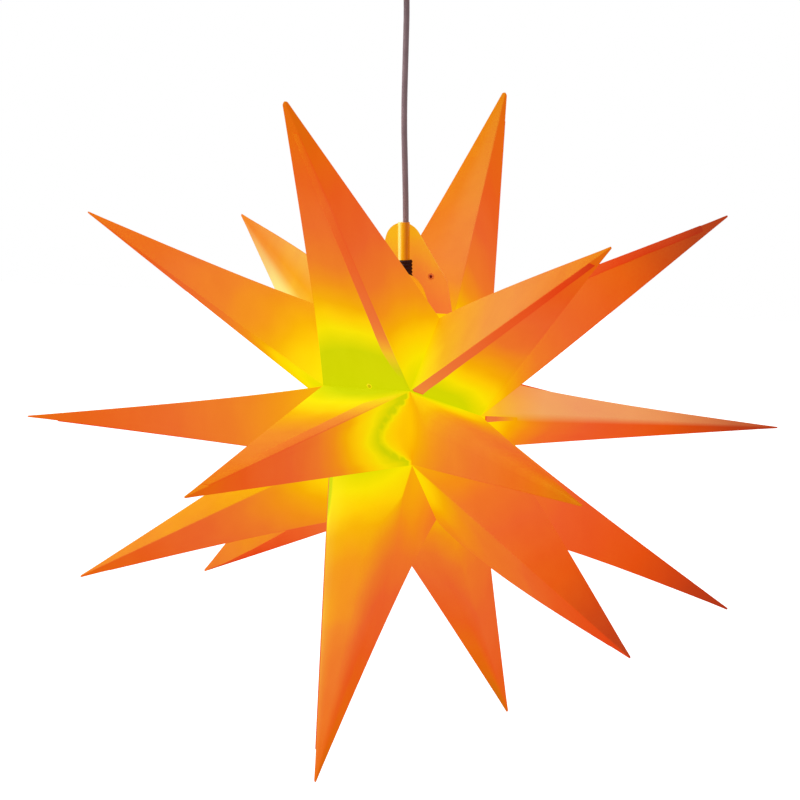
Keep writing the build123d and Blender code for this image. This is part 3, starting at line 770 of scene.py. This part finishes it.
def point_piece(point):
    """The folded sheet of one point, from the inner tip out over the lip to the outer tip."""
    outer = point.outer_rings()
    base = outer[0][1]
    lip = [STAR + (p - STAR) * FLANGE_SCALE for p in base]
    middle = sum(lip, Vector()) / len(lip)
    lip = [p + (middle - p).normalized() * FLANGE_ROOM for p in lip]
    inner = [point.inner_ring(r, t) for t, r in outer if point.inner_radius(t) > INNER_END_RADIUS]
    inner_end = sum(inner[-1], Vector()) / len(inner[-1])
    inner_end = inner_end.lerp(point.tip, INNER_END_SHARE)
    rings = inner[::-1] + [point.inner_ring(lip, 0), lip] + [r for t, r in outer]
    vertices, faces = skin(rings, inner_end, point.tip)
    piece = mesh_piece(f"sheet_{point.name}", vertices, faces, SHEET_MATERIAL)
    places = [t for t, r in outer]
    places = places[: len(inner)][::-1] + [0, 0] + places
    for name, ring in (
        ("further", point.ring_further), ("pale", point.ring_pale), ("overlap", point.ring_overlap)
    ):
        values = [v for t in places for v in ring(t)]
        values += [values[-1]] * (len(vertices) - len(values))
        set_values(piece, name, values)
    return piece


def set_values(piece, name, values):
    """One value for each vertex, for the material to read."""
    piece.data.attributes.new(name, "FLOAT", "POINT").data.foreach_set("value", values)


def shade_of_strip(name, t):
    """How much a strip differs from the sheet at share t of its ridge."""
    start, full, fade, end = STRIP_SHADES.get(name, STRIP_SHADE)
    opening = min(max((t - start) / (full - start), 0), 1)
    closing = min(max((end - t) / (end - fade), 0), 1)
    return STRIP_STRENGTHS.get(name, 1.0) * min(opening, closing)


def strip_piece(point, letters):
    """The raised overlap beside one ridge, lying on the face that it is welded to."""
    start, other = [LETTERS.index(letter) for letter in letters]
    forward = (start + 1) % point.sides == other
    face = start if forward else other
    length = (point.tip - point.base[start]).length
    normal = point.face_normal(face)
    chance = random.Random(point.name + letters)
    stop = length * STRIP_STOPS.get(point.name, STRIP_STOP)
    narrowing = length * POINTED_STRIPS.get(point.name, 1.0)
    rings, further, overlap = [], [], []
    rows = [(k / (STRIP_ROWS - 1)) ** STRIP_ROW_POWER for k in range(STRIP_ROWS)]
    reaches = [STRIP_START + (stop - STRIP_START) * share for share in rows]
    reaches.insert(1, STRIP_START + STRIP_END_LENGTH)
    for k, reach in enumerate(reaches):
        lift = STRIP_LIFT
        if point.sides == 4 and reach < STRIP_TAPER:
            opening = (reach - STRIP_START) / (STRIP_TAPER - STRIP_START)
            width = STRIP_WIDTH * (STRIP_TAPER_LEAST + (1 - STRIP_TAPER_LEAST) * opening)
        else:
            width = STRIP_WIDTH + (STRIP_END_WIDTH - STRIP_WIDTH) * (reach - STRIP_START) / stop
        if point.sides == 3:
            lift += LOOSE_LIFT * max(0, 1 - reach / LOOSE_LENGTH)
        if reach > narrowing:
            width *= max(POINT_LEAST, (stop - reach) / (stop - narrowing))
        width *= WIDE_STRIPS.get(point.name, 1.0)
        width += chance.uniform(-STRIP_WANDER, STRIP_WANDER)
        t = reach / length
        across = (point.corner(face + 1, t) - point.corner(face, t)).length
        section = []
        top = [(share, rise * lift) for share, rise in STRIP_SECTION]
        for share, height in ((0, -STRIP_SINK), *top, (1, -STRIP_SINK)):
            u = (STRIP_OFFSET + share * width) / across
            u = u if forward else 1 - u
            section.append(point.on_face(face, t, u) + normal * height)
        rings.append(section)
        shade = shade_of_strip(point.name, t)
        shift = point.dark * point.shade_at(t) + point.further_at(face, t) * (1 - shade)
        # Painted shade on the first row, at the strip's cut end
        if k == 0 and point.sides == 3:
            shift += STRIP_END_SHADE
        further += [shift] * len(section)
        overlap += [shade] * len(section)
    ends = [sum(r, Vector()) / len(r) for r in (rings[0], rings[-1])]
    vertices, faces = skin(rings, *ends)
    piece = mesh_piece(f"overlap_{point.name}", vertices, faces, SHEET_MATERIAL)
    for name, values in (("further", further), ("overlap", overlap)):
        set_values(piece, name, values + [values[0], values[-1]])
    return piece


def build_star(points):
    """The sheet of every point, in place of its solid, with its overlap strip."""
    for point, letters, end in points:
        body = "star" if end == "front" else "rear_half"
        pieces = [point_piece(point)]
        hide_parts(f"point_{point.name}")
        if letters:
            pieces.append(strip_piece(point, letters))
        for piece in pieces:
            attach(piece, body)


def disc_piece(name, centre, normal, radius, reach, material):
    """A small disc that reaches equally far to both sides of its centre."""
    turn = normal.to_track_quat("Z", "Y")
    angles = [2 * math.pi * k / DISC_SIDES for k in range(DISC_SIDES)]
    rings, ends = [], []
    for height in (-reach, reach):
        flat = [Vector((radius * math.cos(a), radius * math.sin(a), height)) for a in angles]
        rings.append([centre + turn @ p for p in flat])
        ends.append(centre + turn @ Vector((0, 0, height)))
    vertices, faces = skin(rings, *ends)
    return mesh_piece(name, vertices, faces, material)


def build_eyelet_shades():
    """Dark discs of painted shade that fill the bores of the tongue's two eyelets."""
    reds = ((0.22, 0.008, 0.004), (0.28, 0.012, 0.006))
    dark = moulded_material("dark_bore", reds, (0.5, 0.6), shine=0.1)
    lean = math.radians(TONGUE_LEAN)
    normal = Vector((0, -math.cos(lean), math.sin(lean)))
    rims = [v.co for v in nodes["tongue_eyelets"].data.vertices]
    for side, name in ((-1, "left"), (1, "right")):
        places = [p for p in rims if p.x * side > 0]
        centre = sum(places, Vector()) / len(places)
        bore = disc_piece(f"eyelet_bore_{name}", centre, normal, SHADE_DISC_RADIUS, SHADE_DISC_REACH, dark)
        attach(bore, "tongue")


def build_punched_mark(point):
    """The small punched mark on the upper front valley: a rim and a hole."""
    face = LETTERS.index(PUNCH_FACE)
    place, normal = point.on_face(face, *PUNCH_PLACE), point.face_normal(face)
    yellows = ((0.58, 0.50, 0.003), (0.62, 0.54, 0.004))
    olives = ((0.44, 0.36, 0.002), (0.48, 0.39, 0.003))
    # Both glow with painted light of the lamp through the sheet, dimmer in the hole
    rim = moulded_material("punched_rim", yellows, (0.4, 0.5), glow=0.9, shine=0.1)
    hole = moulded_material("punched_hole", olives, (0.5, 0.6), glow=0.7, shine=0.1)
    marks = (("punched_rim", rim, PUNCH_RIM), ("punched_hole", hole, PUNCH_HOLE))
    for name, material, (radius, reach) in marks:
        mark = disc_piece(name, place, normal, radius, reach, material)
        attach(mark, "star")


# Cord: the route's points, from inside the sleeve up to the middle of the swivel ball
CORD_DIAMETER = 0.0044
CORD_ROUTE = [
    (0, 0, -0.2420),
    (0, 0, -0.2280),
    (0, 0, -0.2050),
    (-0.0005, -0.0003, -0.1750),
    (-0.0012, -0.0007, -0.1400),
    (0, 0, -0.0900),
    (0.0008, 0.0004, -0.0560),
    (0, 0, -0.0345),
]


def build_cord(material):
    """The cord as a round curve along its route."""
    curve = bpy.data.curves.new("cord_run", "CURVE")
    curve.dimensions = "3D"
    spline = curve.splines.new("NURBS")
    spline.points.add(len(CORD_ROUTE) - 1)
    for target, place in zip(spline.points, CORD_ROUTE):
        target.co = (*place, 1)
    spline.order_u = 3
    spline.use_endpoint_u = True
    curve.resolution_u = 12
    curve.bevel_depth = CORD_DIAMETER / 2
    curve.bevel_resolution = 6
    curve.use_fill_caps = True
    curve.materials.append(material)
    cord = bpy.data.objects.new("cord_run", curve)
    bpy.context.scene.collection.objects.link(cord)
    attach(cord, "cord")
    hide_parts("cord")


def dress(material, *names):
    """Gives nodes of the frame a material."""
    for name in names:
        data = nodes[name].data
        data.materials.clear()
        data.materials.append(material)


def dress_fittings():
    """Materials for the solids that keep their shape. Returns the cord's, for its curve."""
    dress(sleeve_material("sleeve_amber"), "cord_sleeve")
    dress(tongue_material("tongue_sheet"), "tongue")
    dress(SHEET_MATERIAL, "front_tab")
    # Black moulding; its red tint is a painted reflection of the star's glow
    dark = ((0.026, 0.003, 0.004), (0.038, 0.005, 0.007))
    black = moulded_material("black_moulding", dark, (0.4, 0.55), shine=0.1)
    dress(black, "holder_neck", "holder_cap", "socket_body", "bulb_insulator")
    gold = ((0.6, 0.36, 0.12), (0.72, 0.47, 0.18))
    brass = metal_material("brass", gold, (0.2, 0.35))
    dress(brass, "socket_shell", "socket_contact", "bulb_tip", "terminal_screws")
    copper = ((0.80, 0.36, 0.18), (0.88, 0.42, 0.22))
    rolled = metal_material("eyelet_rim", copper, (0.4, 0.5))
    dress(rolled, "tongue_eyelets")
    brown = ((0.10, 0.035, 0.015), (0.13, 0.05, 0.02))
    insulation = moulded_material("wire_brown", brown, (0.4, 0.5))
    dress(insulation, "holder_leads", "supply_wires")
    silver = ((0.55, 0.55, 0.56), (0.7, 0.7, 0.71))
    alloy = metal_material("bulb_cap_alloy", silver, (0.25, 0.4))
    dress(alloy, "bulb_cap")
    pale = ((0.72, 0.72, 0.70), (0.78, 0.78, 0.76))
    white = moulded_material("white_moulding", pale, (0.35, 0.45))
    dress(white, "canopy", "swivel_ball", "bulb_collar", "led_board", "terminal_block")
    grey = ((0.45, 0.46, 0.48), (0.6, 0.61, 0.63))
    zinc = metal_material("zinc_plate", grey, (0.3, 0.45), stretch=(6, 1, 1))
    dress(zinc, "ceiling_bracket", "canopy_screws")
    lit = ((1.0, 0.72, 0.25), (1.0, 0.8, 0.35))
    dress(moulded_material("led_phosphor", lit, (0.3, 0.4), glow=1.5), "led_chips")
    opal = ((0.95, 0.85, 0.55), (1.0, 0.9, 0.6))
    dress(moulded_material("opal_globe", opal, (0.25, 0.35), glow=1.0), "bulb_globe")
    mauve = (linear(127, 104, 109), linear(141, 117, 122))
    sheath = moulded_material("cord_sheath", mauve, (0.45, 0.6), grain=1500.0)
    dress(sheath, "cord_tail")
    return sheath


def camera_back(azimuth, elevation):
    """Unit vector from the object to a camera at that azimuth and elevation."""
    a, e = math.radians(azimuth), math.radians(elevation)
    return Vector((math.sin(a) * math.cos(e), -math.cos(a) * math.cos(e), math.sin(e)))


def add_camera():
    """The photograph's camera, shifted so that the star falls on its pixel."""
    data = bpy.data.cameras.new("camera")
    data.lens = LENS
    data.sensor_width = SENSOR_WIDTH
    data.shift_x = (FRAME_SIZE / 2 - STAR_PIXEL[0]) / FRAME_SIZE
    data.shift_y = (STAR_PIXEL[1] - FRAME_SIZE / 2) / FRAME_SIZE
    camera = bpy.data.objects.new("camera", data)
    back = camera_back(AZIMUTH, ELEVATION)
    camera.location = STAR + back * DISTANCE
    camera.rotation_euler = back.to_track_quat("Z", "Y").to_euler()
    bpy.context.scene.collection.objects.link(camera)
    bpy.context.scene.camera = camera


def add_area(name, azimuth, elevation, distance, size, watts):
    """A soft square lamp that faces the star."""
    data = bpy.data.lights.new(name, "AREA")
    data.size = size
    data.energy = watts
    lamp = bpy.data.objects.new(name, data)
    back = camera_back(azimuth, elevation)
    lamp.location = STAR + back * distance
    lamp.rotation_euler = back.to_track_quat("Z", "Y").to_euler()
    bpy.context.scene.collection.objects.link(lamp)


def seen_directly(tree):
    """1 for rays that the camera, a reflection or a clear body sends, and 0 for light."""
    path = tree.nodes.new("ShaderNodeLightPath")
    seen = add_math(tree, "MAXIMUM", path.outputs["Is Camera Ray"], path.outputs["Is Glossy Ray"])
    return add_math(tree, "MAXIMUM", seen, path.outputs["Is Transmission Ray"])


def add_studio():
    """Lamps, white surroundings and a pale floor, which the camera sees as plain white."""
    for name, values in LAMPS.items():
        add_area(name, *values)
    world = bpy.data.worlds.new("studio")
    world.use_nodes = True
    tree = world.node_tree
    background = tree.nodes["Background"]
    background.inputs["Color"].default_value = WHITE
    strength = add_range(tree, seen_directly(tree), UNIT, (AMBIENT, 1.0))
    tree.links.new(strength, background.inputs["Strength"])
    bpy.context.scene.world = world

    material, tree, shader, place = node_graph("pale_floor")
    paint = add_noise(tree, place, scale=8.0, detail=3.0)
    tree.links.new(add_tones(tree, paint, FLOOR_TINTS, NOISE_SPAN), shader.inputs["Base Color"])
    shader.inputs["Roughness"].default_value = FLOOR_ROUGHNESS
    shader.inputs["Emission Color"].default_value = WHITE
    tree.links.new(seen_directly(tree), shader.inputs["Emission Strength"])
    bpy.ops.mesh.primitive_plane_add(size=FLOOR_SIZE, location=(0, 0, STAR.z - FLOOR_DROP))
    floor = bpy.context.object
    floor.name = "floor"
    floor.data.materials.append(material)


points = star_points()
build_star(points)
build_eyelet_shades()
build_punched_mark(next(point for point, letters, end in points if point.name == PUNCH_POINT))
build_cord(dress_fittings())
add_camera()
add_studio()
bpy.context.scene.view_settings.view_transform = "Standard"
